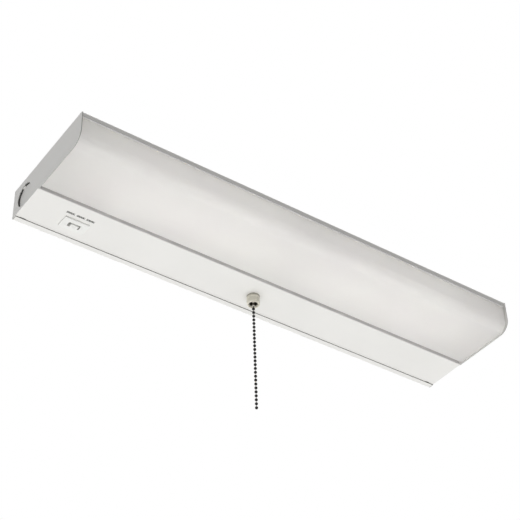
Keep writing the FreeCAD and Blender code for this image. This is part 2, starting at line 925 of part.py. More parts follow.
# Where the middle of a two-step rounding stands, as a share of its radius
ROUND_STEP = 1 - math.sqrt(0.5)


def pull_switch():
    """Pull switch: case and lid, threaded bushing through the cover, lock ring, cap, plunger and spring."""
    half_x = d.switch_length / 2
    half_y = d.switch_width / 2
    case = new_body("pull_switch_case")
    block(case, -half_x, half_x, switch_y - half_y, switch_y + half_y, cover_inside, switch_roof)
    break_edges(case, d.switch_corner, upright)
    wells(case, [(0, switch_y)], d.cavity_radius, OCTAGON, switch_floor, switch_roof)
    holes(case, [(0, switch_y)], d.thread_radius + d.thread_fit, cover_inside, switch_floor)
    lid = new_body("pull_switch_lid")
    block(lid, -half_x, half_x, switch_y - half_y, switch_y + half_y, switch_roof, switch_top)
    break_edges(lid, d.switch_corner, upright)

    bushing = new_body("pull_switch_bushing")
    turned(
        bushing,
        [
            (d.bore_radius, bushing_end),
            (d.thread_radius, bushing_end),
            (d.thread_radius, switch_floor),
            (d.bushing_flange, switch_floor),
            (d.bushing_flange, flange_upper),
            (d.bore_radius, flange_upper),
        ],
        0,
        switch_y,
    )
    thread_hole = d.thread_radius + d.thread_fit
    nut = new_body("bushing_nut")
    posts(nut, [(0, switch_y)], d.nut_radius, nut_under, cover_under)
    holes(nut, [(0, switch_y)], thread_hole, nut_under, cover_under)
    cap = new_body("bushing_cap")
    turned(
        cap,
        [
            (d.cap_mouth, cap_under),
            (d.cap_radius - d.cap_round, cap_under),
            (d.cap_radius - d.cap_round * ROUND_STEP, cap_under + d.cap_round * ROUND_STEP),
            (d.cap_radius, cap_under + d.cap_round),
            (d.cap_radius, nut_under),
            (thread_hole, nut_under),
            (thread_hole, cap_under + d.cap_lip),
            (d.cap_mouth, cap_under + d.cap_lip),
        ],
        0,
        switch_y,
    )

    plunger = new_body("pull_plunger")
    prisms(plunger, [(0, switch_y)], d.plunger_head, OCTAGON, plunger_seat, plunger_top)
    prisms(plunger, [(0, switch_y)], d.plunger_stem, OCTAGON, stem_end, plunger_seat)
    return_spring()


def return_spring():
    """Envelope of the coil between the bushing's flange and the plunger's head."""
    body = new_body("return_spring")
    low = flange_upper + d.link_gap
    high = plunger_seat - d.link_gap
    drawing = sketch(body, "XY_Plane", low)
    for side in (-1, 1):
        polygon(drawing, 0, switch_y, d.spring_radius + side * d.spring_wire / 2, OCTAGON)
    extrude(body, drawing, high - low)


# A faceted bead as shares of its radius: its corners all lie on the ball
BAND_RADIUS = math.cos(math.radians(23))
BAND_HALF = math.sin(math.radians(23))
BEAD_CHAMFER = 0.556


def beads(label, top, count):
    """Balls in a row, each an eight-sided band with a chamfer above and below."""
    body = new_body(label)
    half_height = d.bead_radius * (BAND_HALF + BEAD_CHAMFER)
    low, high = top - half_height, top + half_height
    prisms(body, [(0, switch_y)], d.bead_radius * BAND_RADIUS, OCTAGON, low, high)
    break_edges(
        body,
        d.bead_radius * BEAD_CHAMFER,
        lambda edge: lies_at(edge, "z", low) or lies_at(edge, "z", high),
    )
    if count is not None:
        row = row_of(body, [], "Z_Axis", d.bead_pitch * (count - 1), count, back=True)
        row.TransformMode = "Whole shape"


def links(label, top_bead, count):
    """Short wires between neighbouring beads, the first one just under the top bead."""
    body = new_body(label)
    low = top_bead - d.bead_pitch + bead_clear
    wire = prisms(body, [(0, switch_y)], d.link_radius, SQUARE, low, low + d.bead_pitch - bead_clear * 2)
    row_of(body, [wire], "Z_Axis", d.bead_pitch * (count - 1), count, back=True)


def pull_chain():
    """Ball chain: inner beads on the plunger, the bead that it swings about and the hanging length."""
    inner_top = swivel_height + d.bead_pitch * d.inner_bead_count
    beads("chain_inner_beads", inner_top, d.inner_bead_count)
    links("chain_inner_links", inner_top + d.bead_pitch, d.inner_bead_count + 1)
    beads("chain_swivel_bead", swivel_height, None)
    beads("chain_beads", swivel_height - d.bead_pitch, d.bead_count)
    links("chain_links", swivel_height, d.bead_count)


selector_x = -d.selector_place
selector_y = d.selector_offset
bezel_under = cover_under - d.bezel_height
neck_top = cover_inside + d.neck_height
can_top = neck_top + d.can_height
selector_board_top = can_top + d.board_thickness


def around_selector(length, width):
    half_x, half_y = length / 2, width / 2
    return (selector_x - half_x, selector_x + half_x, selector_y - half_y, selector_y + half_y)


def selector():
    """Slide selector: bezel with a neck through the cover, knob on a carriage, switch can and board."""
    bezel = new_body("selector_bezel")
    block(bezel, *around_selector(d.bezel_length, d.bezel_width), bezel_under, cover_under)
    break_edges(bezel, d.bezel_edge, lambda edge: lies_at(edge, "z", bezel_under))
    block(bezel, *around_selector(d.neck_length, d.neck_width), cover_under, neck_top)
    recess(bezel, [around_selector(d.track_length, d.track_width)], bezel_under, neck_top)

    can = new_body("selector_switch_case")
    block(can, *around_selector(d.neck_length, d.neck_width), neck_top, can_top)
    inside_length = d.neck_length - d.can_wall * 2
    inside_width = d.neck_width - d.can_wall * 2
    recess(can, [around_selector(inside_length, inside_width)], neck_top, can_top - d.can_wall)

    slider = new_body("selector_slider")
    carriage_under = neck_top + d.carriage_lift
    carriage_top = carriage_under + d.carriage_height
    knob_under = bezel_under - d.knob_proud
    block(slider, *around_selector(d.carriage_length, d.carriage_width), carriage_under, carriage_top)
    block(slider, *around_selector(d.knob_length, d.knob_width), knob_under, carriage_under)
    groove = d.knob_groove / 2
    pitch = d.knob_groove * 2
    grooves = [
        (selector_x + step * pitch - groove, selector_x + step * pitch + groove,
         selector_y - d.knob_width, selector_y + d.knob_width)
        for step in (-1, 0, 1)
    ]
    recess(slider, grooves, knob_under, knob_under + groove)

    board = new_body("selector_board")
    board_area = around_selector(d.selector_board_length, d.selector_board_width)
    block(board, *board_area, can_top, selector_board_top)


def wiring():
    """Leads inside the wiring chamber, each ending on a flat face of what it feeds."""
    block_face = block_x - d.block_length / 2
    switch_face = d.switch_length / 2
    driver_right = driver_x + driver_half_x
    driver_left = driver_x - driver_half_x
    hot_y = driver_y - d.pole_spacing
    ground_y = driver_y + d.pole_spacing
    driver_wire = pan_inside - d.driver_height / 2
    switch_wire = (switch_roof + cover_inside) / 2
    stub = d.lead_stub
    mains = lead_section(d.lead_radius, HEX)
    cable = lead_section(d.cable_radius, SQUARE)
    lead(
        "hot_lead",
        [
            (block_face, hot_y, wire_height),
            (block_face - stub * 2, hot_y, wire_height),
            (block_face - stub * 4.5, hot_y - 3, (wire_height + switch_wire) / 2),
            (switch_face + stub * 4, hot_y, switch_wire),
            (switch_face + stub * 2, hot_y + 2, switch_wire),
            (switch_face, hot_y + 2, switch_wire),
        ],
        mains,
    )
    lead(
        "switch_lead",
        [
            (-switch_face, switch_y, switch_wire),
            (-switch_face - 7, switch_y, switch_wire),
            (driver_right + 8, switch_y - 5, driver_wire),
            (driver_right, switch_y - 5, driver_wire),
        ],
        mains,
    )
    behind = switch_y + d.switch_width / 2 + d.lead_radius * 4
    past_switch = -switch_face - d.lead_radius * 4
    lead(
        "neutral_lead",
        [
            (block_face, driver_y, wire_height),
            (block_face - stub * 0.7, driver_y, wire_height),
            (block_face - stub * 2, driver_y - 2, wire_height - 5),
            (block_face - stub * 4.5, driver_y + 4, wire_height - 8),
            (switch_face + stub * 3, behind, driver_wire),
            (0, behind + 1, driver_wire - 2),
            (past_switch, behind, driver_wire),
            (driver_right + stub, behind - 8, driver_wire),
            (driver_right, behind - 8, driver_wire),
        ],
        mains,
    )
    ground_face = d.ground_screw_place + d.ground_head / 2
    lead("ground_lead", [(ground_face, ground_y, wire_height), (block_face, ground_y, wire_height)], mains)

    connector_x = board_starts[0] + d.connector_inset + d.connector_length / 2
    connector_face = board_y + board_half
    connector_wire = board_under - d.connector_height / 2
    lamp_y = driver_y - driver_half_y / 2
    lead(
        "led_leads",
        [
            (driver_left, lamp_y, driver_wire),
            (driver_left - stub, lamp_y, driver_wire),
            (-d.grommet_place + 2, partition_far + stub, -d.grommet_drop - 0.6),
            (-d.grommet_place, partition_near - 6, -d.grommet_drop),
            (connector_x, connector_face + stub, connector_wire),
            (connector_x, connector_face, connector_wire),
        ],
        cable,
    )
    board_edge = selector_x + d.selector_board_length / 2
    board_wire = selector_board_top - d.board_thickness / 2
    lead(
        "selector_leads",
        [
            (board_edge, selector_y, board_wire),
            (board_edge + 5, selector_y, board_wire),
            (driver_left - 6, selector_y + 1, driver_wire - 3),
            (driver_left, selector_y + 1, driver_wire - 3),
        ],
        cable,
    )


back_pan()
end_plate("left_end_plate", -1)
end_plate("right_end_plate", 1)
diffuser()
wiring_cover()
partition()
lead_grommet()
lamp_boards()
driver()
terminal_block()
pull_switch()
pull_chain()
selector()
wiring()
doc.recompute()


def check_document():
    """Stops before anything is written if an object failed or a cut took nothing off."""
    for item in doc.Objects:
        if "Invalid" in item.State or "Error" in item.State:
            raise RuntimeError(f"{item.Label} failed: {item.State}")
        if item.TypeId == "PartDesign::Pocket":
            taken = item.BaseFeature.Shape.Volume - item.Shape.Volume
            if taken <= 0:
                raise RuntimeError(f"{item.Label} cut nothing")


check_document()
finished = [item for item in doc.Objects if item.TypeId in ("PartDesign::Body", "Part::Feature")]
for piece in finished:
    if piece.Shape.isNull() or not piece.Shape.isValid():
        raise RuntimeError(f"{piece.Label} has no sound shape")
os.makedirs("parts", exist_ok=True)
for piece in finished:
    piece.Shape.exportStep(f"parts/{piece.Label}.step")
    print(f"{piece.Label}: {len(piece.Shape.Solids)} solid, {piece.Shape.Volume:.1f} mm3")
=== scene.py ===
# %% [markdown]
# # A closet light, dressed around its CAD frame
# The light is screwed to a ceiling and is seen from below: a white steel channel with an opal diffuser along
# the near side, a flat wiring cover along the far side, a small slide selector near the left end and a ball
# chain that hangs from the pull switch. The CAD frame gives every piece its place and size. This lesson adds
# what CAD leaves plain: the beads of the chain, soft edges, printed marks, finishes, light and the camera.

# %% The frame
import json
import math

import bmesh
import bpy
from mathutils import Matrix, Vector


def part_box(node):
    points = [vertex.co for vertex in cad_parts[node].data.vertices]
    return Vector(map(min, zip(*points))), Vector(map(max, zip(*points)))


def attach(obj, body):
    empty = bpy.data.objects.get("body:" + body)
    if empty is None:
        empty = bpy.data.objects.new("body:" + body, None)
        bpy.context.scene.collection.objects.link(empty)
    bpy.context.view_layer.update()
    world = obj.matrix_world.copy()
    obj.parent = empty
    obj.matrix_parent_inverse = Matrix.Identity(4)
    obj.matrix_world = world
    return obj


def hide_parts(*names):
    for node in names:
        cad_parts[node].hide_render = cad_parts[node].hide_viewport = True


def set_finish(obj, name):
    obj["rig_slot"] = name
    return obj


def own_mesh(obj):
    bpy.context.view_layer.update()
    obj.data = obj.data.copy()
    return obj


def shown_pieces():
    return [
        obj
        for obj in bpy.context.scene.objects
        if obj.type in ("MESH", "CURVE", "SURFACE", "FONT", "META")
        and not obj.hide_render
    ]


MM = 0.001

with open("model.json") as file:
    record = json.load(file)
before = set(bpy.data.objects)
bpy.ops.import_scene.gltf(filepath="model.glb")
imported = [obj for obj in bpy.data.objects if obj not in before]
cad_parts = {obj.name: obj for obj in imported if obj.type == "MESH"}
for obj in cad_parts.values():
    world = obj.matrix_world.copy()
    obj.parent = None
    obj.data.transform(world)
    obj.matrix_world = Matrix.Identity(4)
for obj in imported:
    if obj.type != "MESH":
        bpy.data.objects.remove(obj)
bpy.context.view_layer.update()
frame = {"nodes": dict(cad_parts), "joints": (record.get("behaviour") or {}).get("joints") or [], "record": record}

# %% [markdown]
# ## The camera
# The camera stands below the fixture, in front and to its left, and looks up at it. A camera can be placed
# by hand and nudged until the edges fall right, or worked out from edges whose real lengths are known. Here
# the fixture's corners, 18 inches apart, gave its place and directions, and small nudges finished them.

# %% The camera
EYE = Vector((-581.34, -765.52, -800.93)) * MM
TO_THE_RIGHT = Vector((0.81703, -0.57594, -0.02754))
AHEAD = Vector((0.45923, 0.62110, 0.63510))
SENSOR_WIDTH = 36.0
LENS = 96.44

bpy.ops.object.select_all(action="DESELECT")
bpy.ops.object.camera_add(location=EYE)
camera = bpy.context.object
camera.name = "camera"
upward = TO_THE_RIGHT.cross(AHEAD)
camera.rotation_euler = Matrix((TO_THE_RIGHT, upward, -AHEAD)).transposed().to_euler()
camera.data.sensor_width = SENSOR_WIDTH
camera.data.lens = LENS
bpy.context.scene.camera = camera
print("camera at", [round(v, 3) for v in camera.location], "with a lens of", LENS, "mm")

# %% [markdown]
# ## The route of the chain
# A ball chain is limp, so it hangs plumb from the switch. Its beads could be set out by hand, but a route
# makes the length easy to check: a short NURBS line from the lower side of the swivel bead to the end of
# the last bead. The swivel bead sits at the pivot of the chain's swing. Points are read back from the line.


# %% The route of the chain
def joint(name):
    """The frame's joint of that name."""
    return next(row for row in frame["joints"] if row["name"] == name)


BEAD = 1.4 * MM
PITCH = 4.04 * MM
BEAD_COUNT = 27
ROUTE_STEPS = 4

pull_x, pull_y, pivot_z = joint("chain_swing_x")["pos_m"]
route_top = pivot_z - BEAD
route_length = PITCH * BEAD_COUNT
route_data = bpy.data.curves.new("chain_route", "CURVE")
route_data.dimensions = "3D"
line = route_data.splines.new("NURBS")
line.points.add(ROUTE_STEPS)
for step, point in enumerate(line.points):
    point.co = (pull_x, pull_y, route_top - route_length * step / ROUTE_STEPS, 1.0)
line.order_u = 3
line.use_endpoint_u = True
route = bpy.data.objects.new("chain_route", route_data)
bpy.context.collection.objects.link(route)
route_mesh = bpy.data.meshes.new_from_object(route)
route_points = [vertex.co.copy() for vertex in route_mesh.vertices]
route_runs = [(b - a).length for a, b in zip(route_points, route_points[1:])]
bpy.data.objects.remove(route)
bpy.data.meshes.remove(route_mesh)
print("chain route:", len(route_points), "points,", round(sum(route_runs) / MM, 2), "mm long")

# %% [markdown]
# ## One bead
# Each bead is a hollow ball rolled from thin strip, with a seam down one side and a dimpled hole at each
# end. A plain sphere would do from afar, but the chain is what a hand takes hold of. So the poles of a
# sphere are pushed in for the holes, their rims are beveled, and a line of edges down one side is pressed
# in for the seam. In edit mode one clicks the parts to work on. A script has no mouse, so it picks them by
# where their middle lies.


# %% The ball
def start(add_shape, name, **sizes):
    """Adds a primitive with nothing else selected, and opens it in edit mode."""
    bpy.ops.object.select_all(action="DESELECT")
    add_shape(**sizes)
    piece = bpy.context.object
    piece.name = piece.data.name = name
    bpy.ops.object.mode_set(mode="EDIT")
    return piece


BALL_RINGS = 16

bead = start(
    bpy.ops.mesh.primitive_uv_sphere_add, "bead", segments=24, ring_count=BALL_RINGS, radius=BEAD
)
print("ball:", round(2 * BEAD / MM, 2), "mm across with", len(bead.data.polygons), "faces")


# %% The holes
def pick(piece, kind, test):
    """Selects the faces, edges or verts of a piece in edit mode whose middle passes the test."""
    bpy.ops.mesh.select_mode(type=kind.rstrip("s").upper())
    bpy.ops.mesh.select_all(action="DESELECT")
    mesh = bmesh.from_edit_mesh(piece.data)
    for part in getattr(mesh, kind):
        corners = [part] if kind == "verts" else part.verts
        middle = sum((corner.co for corner in corners), Vector()) / len(corners)
        if test(middle):
            part.select_set(True)
    mesh.select_flush_mode()
    bmesh.update_edit_mesh(piece.data)


# The rim of a hole is the second ring of the sphere from its pole.
HOLE_RIM = BEAD * math.cos(2 * math.pi / BALL_RINGS)
HOLE_DEPTH = 0.28 * MM
RIM_ROUND = 0.08 * MM
SAME_PLACE = 0.01 * MM

for end in (1, -1):
    pick(bead, "faces", lambda middle: middle.z * end > HOLE_RIM)
    bpy.ops.mesh.extrude_region_move(TRANSFORM_OT_translate={"value": (0, 0, -HOLE_DEPTH * end)})
pick(bead, "edges", lambda middle: abs(abs(middle.z) - HOLE_RIM) < SAME_PLACE)
bpy.ops.mesh.bevel(offset=RIM_ROUND, segments=2)
print("holes:", round(HOLE_DEPTH / MM, 2), "mm deep")


# %% The seam
def smooth(piece, degrees):
    """Shades the piece smooth, apart from edges that turn by more than the angle."""
    bpy.ops.object.mode_set(mode="OBJECT")
    bpy.ops.object.shade_smooth_by_angle(angle=math.radians(degrees))


SEAM = 0.07 * MM
SEAM_END = 0.8 * MM

pick(bead, "edges", lambda middle: middle.x > BEAD / 2 and abs(middle.y) < SAME_PLACE)
bpy.ops.mesh.bevel(offset=SEAM, segments=2)
pick(bead, "verts", lambda place: place.x > SEAM_END and abs(place.y) < SAME_PLACE)
bpy.ops.transform.translate(value=(-SEAM, 0, 0))
smooth(bead, degrees=40)
print("bead:", len(bead.data.polygons), "faces")

# %% [markdown]
# ## One link
# Between two beads a small pin shows, with a head inside each of them. A bare cylinder would look stiff, so
# it is cut in half by a plane and drawn in there to a waist, and its ends are rounded.

# %% One link
LINK_RADIUS = 0.3 * MM
LINK_LENGTH = 1.8 * MM
LINK_ROUND = 0.1 * MM
WAIST = 0.8

link = start(
    bpy.ops.mesh.primitive_cylinder_add, "link", vertices=12, radius=LINK_RADIUS, depth=LINK_LENGTH
)
bpy.ops.mesh.bisect(plane_co=(0, 0, 0), plane_no=(0, 0, 1))
pick(link, "verts", lambda place: abs(place.z) < SAME_PLACE)
bpy.ops.transform.resize(value=(WAIST, WAIST, 1.0), center_override=(0, 0, 0))
pick(link, "edges", lambda middle: abs(abs(middle.z) - LINK_LENGTH / 2) < SAME_PLACE)
bpy.ops.mesh.bevel(offset=LINK_ROUND, segments=2)
smooth(link, degrees=50)
print("link:", len(link.data.polygons), "faces")

# %% [markdown]
# ## The chain
# The chain hangs from the switch for a hand to pull. An Array modifier could repeat one bead, but copies set
# along the route can each be turned further than the one before, as a real chain's seams point all ways.
# The hanging ones are joined into one mesh. The swivel bead in the mouth of the switch turns on its own,
# and the beads above it belong to the plunger, so these stay separate pieces. A finished piece has its
# place in its mesh, rides on the body that carries it, and stands in for the plain solid of that piece.


# %% Places along the route
def along(distance):
    """The point of the route that far from its start, in metres."""
    for begin, end, run in zip(route_points, route_points[1:], route_runs):
        if distance <= run:
            return begin.lerp(end, distance / run)
        distance -= run
    return route_points[-1]


hanging = [along(PITCH * (count + 1) - BEAD) for count in range(BEAD_COUNT)]
between = [along(PITCH * (count + 0.5) - BEAD) for count in range(BEAD_COUNT)]
print("first bead", round(hanging[0].z / MM, 2), "mm and last bead", round(hanging[-1].z / MM, 2), "mm high")

# %% Copies
TURN_PER_COPY = math.radians(137.5)


def copies(source, places, name):
    """Copies a shape to each place, with a turn of its own, and joins the copies into one piece."""
    made = []
    for count, place in enumerate(places):
        copy = bpy.data.objects.new(name, source.data.copy())
        bpy.context.collection.objects.link(copy)
        copy.location = place
        copy.rotation_euler = (0, 0, TURN_PER_COPY * count)
        made.append(copy)
    bpy.ops.object.select_all(action="DESELECT")
    for copy in made:
        copy.select_set(True)
    bpy.context.view_layer.objects.active = made[0]
    bpy.ops.object.transform_apply(location=True, rotation=True, scale=True)
    if len(made) > 1:
        bpy.ops.object.join()
    return bpy.context.object


chain = copies(bead, hanging, "ball_chain")
chain_links = copies(link, between, "ball_chain_links")
print("chain of", len(hanging), "beads and", len(between), "links")


# %% What carries the chain
def settle(piece, body, slot, *nodes):
    """Puts the piece's place into its mesh, and says what carries it and which solids it stands for."""
    bpy.ops.object.select_all(action="DESELECT")
    piece.select_set(True)
    bpy.context.view_layer.objects.active = piece
    bpy.ops.object.transform_apply(location=True, rotation=True, scale=True)
    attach(piece, body)
    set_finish(piece, slot)
    if nodes:
        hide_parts(*nodes)
    print(piece.name, "on", body, "with", len(piece.data.polygons), "faces")


settle(chain, "chain", "black_nickel", "chain_beads")
settle(chain_links, "chain", "nickel_plate", "chain_links")


# %% The beads in the switch
def above_pivot(count):
    """The place of the bead that many steps above the pivot."""
    return Vector((pull_x, pull_y, pivot_z + PITCH * count))


INNER_BEADS = 3

swivel = copies(bead, [above_pivot(0)], "swivel_bead")
settle(swivel, "chain_swivel", "nickel_plate", "chain_swivel_bead")

inner_places = [above_pivot(count + 1) for count in range(INNER_BEADS)]
inner_beads = copies(bead, inner_places, "inner_beads")
settle(inner_beads, "pull", "nickel_plate", "chain_inner_beads")

for used in (bead, link):
    bpy.data.objects.remove(used)

# %% [markdown]
# ## The cap of the pull switch
# The ivory cap is a moulded nylon cup that screws onto the bushing: a collar to grip, a slight neck and a
# fuller lower end with a round mouth for the chain. A turned shape like this could be drawn as a curve and
# spun. Here a circle is extruded from ring to ring, each scaled to its own radius, and the sharp rims are
# beveled last, because that way each ring is one line in a list.

# %% The rings of the cap
cap_low, cap_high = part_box("bushing_cap")
CAP = (cap_high.x - cap_low.x) / 2
NECK = CAP - 0.45 * MM
BORE = 5.15 * MM
MOUTH = 4.6 * MM
THROAT = 3.9 * MM
CAP_TOP = cap_high.z
COLLAR_END = CAP_TOP - 1.5 * MM
NECK_TOP = COLLAR_END - 0.35 * MM
NECK_END = COLLAR_END - 1.1 * MM
SHOULDER = COLLAR_END - 2.9 * MM
CAP_UNDER = cap_low.z - 0.6 * MM
THROAT_TOP = CAP_UNDER + 1.6 * MM

# Each ring is its radius and its height, from the top of the bore round the outside and back inside.
rings = [
    (BORE, CAP_TOP),
    (CAP, CAP_TOP),
    (CAP, COLLAR_END),
    (NECK, NECK_TOP),
    (NECK, NECK_END),
    (CAP, SHOULDER),
    (CAP, CAP_UNDER),
    (MOUTH, CAP_UNDER),
    (THROAT, THROAT_TOP),
    (BORE, THROAT_TOP),
]
print("cap:", round((CAP_TOP - CAP_UNDER) / MM, 2), "mm long and", round(2 * CAP / MM, 2), "mm across")

# %% The cap of the pull switch
MERGE = 0.002 * MM

radius, height = rings[0]
cap = start(
    bpy.ops.mesh.primitive_circle_add,
    "switch_cap",
    vertices=64,
    radius=radius,
    location=(pull_x, pull_y, 0),
)
bpy.ops.transform.translate(value=(0, 0, height))
for next_radius, next_height in rings[1:] + rings[:1]:
    bpy.ops.mesh.extrude_region_move(TRANSFORM_OT_translate={"value": (0, 0, next_height - height)})
    bpy.ops.transform.resize(value=(next_radius / radius, next_radius / radius, 1))
    radius, height = next_radius, next_height
bpy.ops.mesh.select_all(action="SELECT")
bpy.ops.mesh.remove_doubles(threshold=MERGE)
bpy.ops.mesh.normals_make_consistent(inside=False)
print("cap drawn through", len(rings), "rings")

# %% The rims of the cap
ON_RING = 0.02 * MM
CAP_UNDER_ROUND = 1.3 * MM
CAP_TOP_ROUND = 0.4 * MM
COLLAR_ROUND = 0.3 * MM
MOUTH_ROUND = 0.3 * MM


def on_ring(radius, height):
    """A test for edges of a ring about the piece's axis."""

    def test(middle):
        return abs(middle.xy.length - radius) < ON_RING and abs(middle.z - height) < ON_RING

    return test


rims = [
    (CAP, CAP_UNDER, CAP_UNDER_ROUND),
    (CAP, CAP_TOP, CAP_TOP_ROUND),
    (CAP, COLLAR_END, COLLAR_ROUND),
    (MOUTH, CAP_UNDER, MOUTH_ROUND),
]
for radius, height, rounding in rims:
    pick(cap, "edges", on_ring(radius, height))
    bpy.ops.mesh.bevel(offset=rounding, segments=5)
smooth(cap, degrees=40)
settle(cap, "fixture", "ivory_nylon", "bushing_cap")

# %% [markdown]
# ## The lock ring
# Above the cap a thin ring is screwed up against the cover. It is knurled so that fingers can turn it.
# Knurls could be cut one by one with a boolean. It is simpler to start from a cylinder with two points per
# knurl and draw in every other point of its outer wall, which leaves a ring of small vees.

# %% The body of the ring
ring_low, ring_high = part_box("bushing_nut")
RING = (ring_high.x - ring_low.x) / 2
RING_Z = (ring_low.z + ring_high.z) / 2
KNURLS = 36

lock_ring = start(
    bpy.ops.mesh.primitive_cylinder_add,
    "lock_ring",
    vertices=KNURLS * 2,
    radius=RING,
    depth=ring_high.z - ring_low.z,
    location=(pull_x, pull_y, RING_Z),
)
pick(lock_ring, "faces", lambda middle: middle.xy.length < SAME_PLACE)
bpy.ops.mesh.inset(thickness=RING - BORE)
bpy.ops.mesh.delete(type="FACE")
pick(lock_ring, "edges", lambda middle: abs(middle.xy.length - BORE) < ON_RING)
bpy.ops.mesh.bridge_edge_loops()
print("ring:", round(2 * RING / MM, 2), "mm across with a bore of", round(2 * BORE / MM, 2), "mm")

# %% The knurls of the ring
KNURL_DEPTH = 0.35 * MM


def between_knurls(place):
    """Whether a point lies on the outer wall and at an odd step round the axis."""
    step = math.atan2(place.y, place.x) / (math.pi / KNURLS)
    return place.xy.length > (RING + BORE) / 2 and round(step) % 2


pick(lock_ring, "verts", between_knurls)
drawn_in = 1 - KNURL_DEPTH / RING
bpy.ops.transform.resize(value=(drawn_in, drawn_in, 1), center_override=(pull_x, pull_y, RING_Z))
bpy.ops.mesh.select_all(action="SELECT")
bpy.ops.mesh.normals_make_consistent(inside=False)
smooth(lock_ring, degrees=30)
settle(lock_ring, "fixture", "zinc_plate", "bushing_nut")

# %% [markdown]
# ## The return spring
# Inside the switch a steel spring lifts the plunger again after each pull. A coil could be a bevelled curve,
# but a small circle that climbs as it turns about an axis is just what the Screw modifier makes. When the
# chain is pulled the spring is pressed together; here it keeps its resting shape, in a mesh of its own.

# %% The wire of the spring
spring_low, spring_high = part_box("return_spring")
WIRE = 0.7 * MM
COIL = (spring_high.x - spring_low.x - WIRE) / 2
TURNS = 5
STEPS_PER_TURN = 24

spring = start(
    bpy.ops.mesh.primitive_circle_add,
    "coil_spring",
    vertices=10,
    radius=WIRE / 2,
    rotation=(math.pi / 2, 0, 0),
)
bpy.ops.transform.translate(value=(COIL, 0, 0))
bpy.ops.object.mode_set(mode="OBJECT")
bpy.ops.object.transform_apply(location=False, rotation=True, scale=False)
print("wire", round(WIRE / MM, 2), "mm thick,", round(COIL / MM, 2), "mm from the axis")

# %% The coil of the spring
spring_length = spring_high.z - spring_low.z
winding = spring.modifiers.new("winding", "SCREW")
winding.axis = "Z"
winding.iterations = TURNS
winding.screw_offset = (spring_length - WIRE) / TURNS
winding.steps = STEPS_PER_TURN
winding.render_steps = STEPS_PER_TURN
bpy.ops.object.modifier_apply(modifier=winding.name)
spring.location = (pull_x, pull_y, spring_low.z + WIRE / 2)
bpy.ops.object.mode_set(mode="EDIT")
bpy.ops.mesh.select_all(action="SELECT")
bpy.ops.mesh.remove_doubles(threshold=MERGE)
bpy.ops.mesh.fill_holes(sides=0)
bpy.ops.mesh.normals_make_consistent(inside=False)
smooth(spring, degrees=60)
settle(spring, "fixture", "spring_steel", "return_spring")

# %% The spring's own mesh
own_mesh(spring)

# %% [markdown]
# ## Soft edges on sheet metal and plastic
# No real edge is perfectly sharp: paint and mould radii catch a thin line of light. A shader can fake that
# line, but the mesh is kept too, so it is real here. A copy of each solid that shows is merged into whole
# faces and gets a small bevel, and weighted normals keep its flat faces flat. Editing the solid itself would
# change the frame, so the copy takes its place.

# %% Soft edges
ONE_PLANE = math.radians(1)
SHARP_EDGE = math.radians(40)
SMOOTH_BEND = math.radians(50)


def soften(node, name, body, edge):
    """A copy of a solid with merged faces, smooth bends and edges rounded by that much."""
    slot = next(part["material_slot"] for part in frame["record"]["subparts"] if part["node"] == node)
    piece = bpy.data.objects.new(name, frame["nodes"][node].data.copy())
    bpy.context.collection.objects.link(piece)
    bpy.ops.object.select_all(action="DESELECT")
    piece.select_set(True)
    bpy.context.view_layer.objects.active = piece
    bpy.ops.object.mode_set(mode="EDIT")
    bpy.ops.mesh.select_all(action="SELECT")
    bpy.ops.mesh.remove_doubles(threshold=MERGE)
    bpy.ops.mesh.dissolve_limited(angle_limit=ONE_PLANE)
    bpy.ops.object.mode_set(mode="OBJECT")
    bevel = piece.modifiers.new("soft_edges", "BEVEL")
    bevel.width = edge
    bevel.segments = 2
    bevel.limit_method = "ANGLE"
    bevel.angle_limit = SHARP_EDGE
    bpy.ops.object.modifier_apply(modifier=bevel.name)
    bpy.ops.object.shade_smooth_by_angle(angle=SMOOTH_BEND)
    flat = piece.modifiers.new("flat_faces", "WEIGHTED_NORMAL")
    flat.keep_sharp = True
    bpy.ops.object.modifier_apply(modifier=flat.name)
    settle(piece, body, slot, node)
    return piece


channel = soften("back_pan", "channel", "fixture", edge=0.12 * MM)

# %% The other pieces with soft edges
left_end = soften("left_end_plate", "left_end", "fixture", edge=0.15 * MM)
right_end = soften("right_end_plate", "right_end", "fixture", edge=0.15 * MM)
cover_plate = soften("wiring_cover", "cover_plate", "fixture", edge=0.15 * MM)
soften("diffuser", "lens", "fixture", edge=0.25 * MM)
soften("selector_bezel", "selector_frame", "fixture", edge=0.08 * MM)
soften("selector_slider", "selector_knob", "selector", edge=0.12 * MM)

# %% [markdown]
# ## Marks for the selector
# Beside the selector three small printed values name its positions: the colour of the light in kelvin. They
# could be painted by a texture, but letters typed with a text object stay sharp at any size. Each is given a
# little thickness, made a mesh and then laid on the cover, facing down.

# %% Marks for the selector
cover_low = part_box("wiring_cover")[0]
selector_low, selector_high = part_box("selector_bezel")
SELECTOR_X = (selector_low.x + selector_high.x) / 2
MARK_Y = selector_low.y - 4.65 * MM
MARK_SIZE = 3.0 * MM
STROKE = 0.14 * MM
INK_DEPTH = 0.03 * MM

# Each mark has its distance along the cover from the middle of the selector.
marks = {"3000K": -9.4 * MM, "4000K": 0.0, "5000K": 9.3 * MM}
for words, shift in marks.items():
    bpy.ops.object.select_all(action="DESELECT")
    bpy.ops.object.text_add()
    mark = bpy.context.object
    mark.name = "mark_" + words
    mark.data.body = words
    mark.data.size = MARK_SIZE
    mark.data.offset = STROKE
    mark.data.align_x = "CENTER"
    mark.data.align_y = "CENTER"
    mark.data.resolution_u = 3
    mark.data.extrude = INK_DEPTH
    bpy.ops.object.convert(target="MESH")
    mark = bpy.context.object
    mark.location = (SELECTOR_X + shift, MARK_Y, cover_low.z)
    mark.rotation_euler = (math.pi, 0, 0)
    settle(mark, "fixture", "black_plastic")

